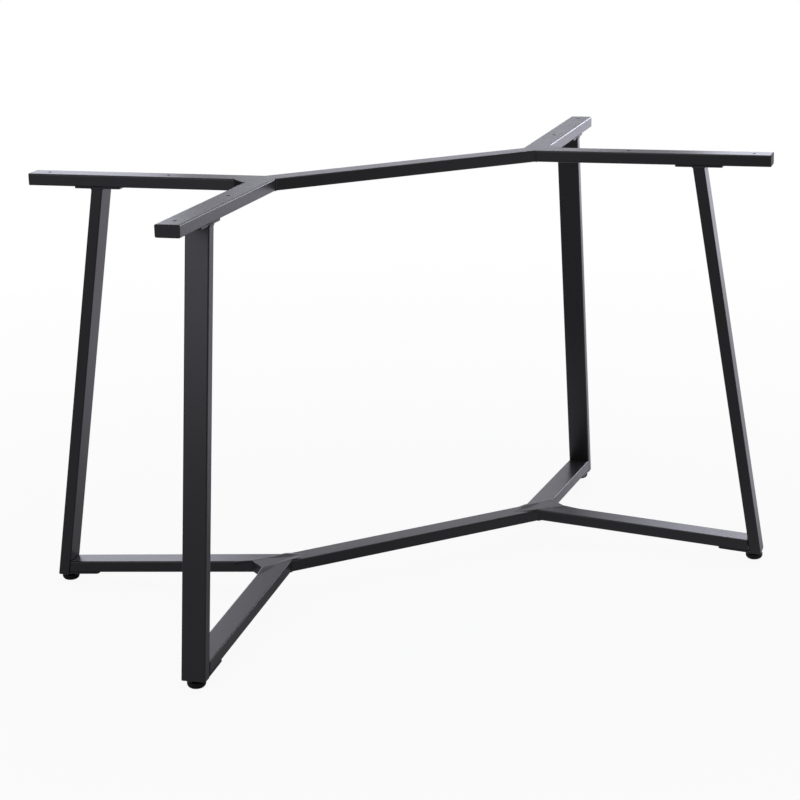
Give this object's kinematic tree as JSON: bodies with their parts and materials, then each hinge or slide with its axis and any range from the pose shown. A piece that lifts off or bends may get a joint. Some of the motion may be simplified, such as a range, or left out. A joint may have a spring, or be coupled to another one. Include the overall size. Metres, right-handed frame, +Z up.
{
  "type": "table base",
  "caption": "Table base of black powder-coated rectangular tube: Y-ended top and bottom frames joined by splayed legs on levelling glides, with holes for a table top.",
  "frame": {"origin": "on the floor, under the middle of the base", "axes": "+X along the rails, +Z up; the front in the picture is -Y"},
  "size_m": [1.1334, 0.6174, 0.73],
  "materials": {
    "powder_coat": "satin black powder coat",
    "cap_plastic": "moulded black plastic",
    "glide_plastic": "moulded black plastic",
    "stud_steel": "zinc-plated steel",
    "screw_steel": "black oxide steel",
    "nut_steel": "zinc-plated steel"
  },
  "bodies": {
    "frame": {"bottom_arm_front_left": "powder_coat", "bottom_arm_front_right": "powder_coat", "bottom_arm_rear_left": "powder_coat", "bottom_arm_rear_right": "powder_coat", "bottom_arm_rivet_nuts": "nut_steel", "bottom_rail": "powder_coat", "bottom_rail_end_plate_left": "powder_coat", "bottom_rail_end_plate_right": "powder_coat", "leg_foot_plate_front_left": "powder_coat", "leg_foot_plate_front_right": "powder_coat", "leg_foot_plate_rear_left": "powder_coat", "leg_foot_plate_rear_right": "powder_coat", "leg_front_left": "powder_coat", "leg_front_right": "powder_coat", "leg_plate_screws": "screw_steel", "leg_rear_left": "powder_coat", "leg_rear_right": "powder_coat", "leg_tab_front_left": "powder_coat", "leg_tab_front_right": "powder_coat", "leg_tab_rear_left": "powder_coat", "leg_tab_rear_right": "powder_coat", "leg_tab_screws": "screw_steel", "leg_top_plate_front_left": "powder_coat", "leg_top_plate_front_right": "powder_coat", "leg_top_plate_rear_left": "powder_coat", "leg_top_plate_rear_right": "powder_coat", "top_arm_cap_front_left": "cap_plastic", "top_arm_cap_front_right": "cap_plastic", "top_arm_cap_rear_left": "cap_plastic", "top_arm_cap_rear_right": "cap_plastic", "top_arm_front_left": "powder_coat", "top_arm_front_right": "powder_coat", "top_arm_rear_left": "powder_coat", "top_arm_rear_right": "powder_coat", "top_arm_rivet_nuts": "nut_steel", "top_rail": "powder_coat", "top_rail_end_plate_left": "powder_coat", "top_rail_end_plate_right": "powder_coat"},
    "glide_front_left": {"glide_pad_front_left": "glide_plastic", "glide_stud_front_left": "stud_steel"},
    "glide_front_right": {"glide_pad_front_right": "glide_plastic", "glide_stud_front_right": "stud_steel"},
    "glide_rear_left": {"glide_pad_rear_left": "glide_plastic", "glide_stud_rear_left": "stud_steel"},
    "glide_rear_right": {"glide_pad_rear_right": "glide_plastic", "glide_stud_rear_right": "stud_steel"}
  },
  "joints": [
    {"name": "glide_front_left_height", "type": "slide", "parent": "frame", "child": "glide_front_left", "axis": [0, 0, -1], "range_m": [0, 0.01]},
    {"name": "glide_front_right_height", "type": "slide", "parent": "frame", "child": "glide_front_right", "axis": [0, 0, -1], "range_m": [0, 0.01]},
    {"name": "glide_rear_left_height", "type": "slide", "parent": "frame", "child": "glide_rear_left", "axis": [0, 0, -1], "range_m": [0, 0.01]},
    {"name": "glide_rear_right_height", "type": "slide", "parent": "frame", "child": "glide_rear_right", "axis": [0, 0, -1], "range_m": [0, 0.01]}
  ]
}
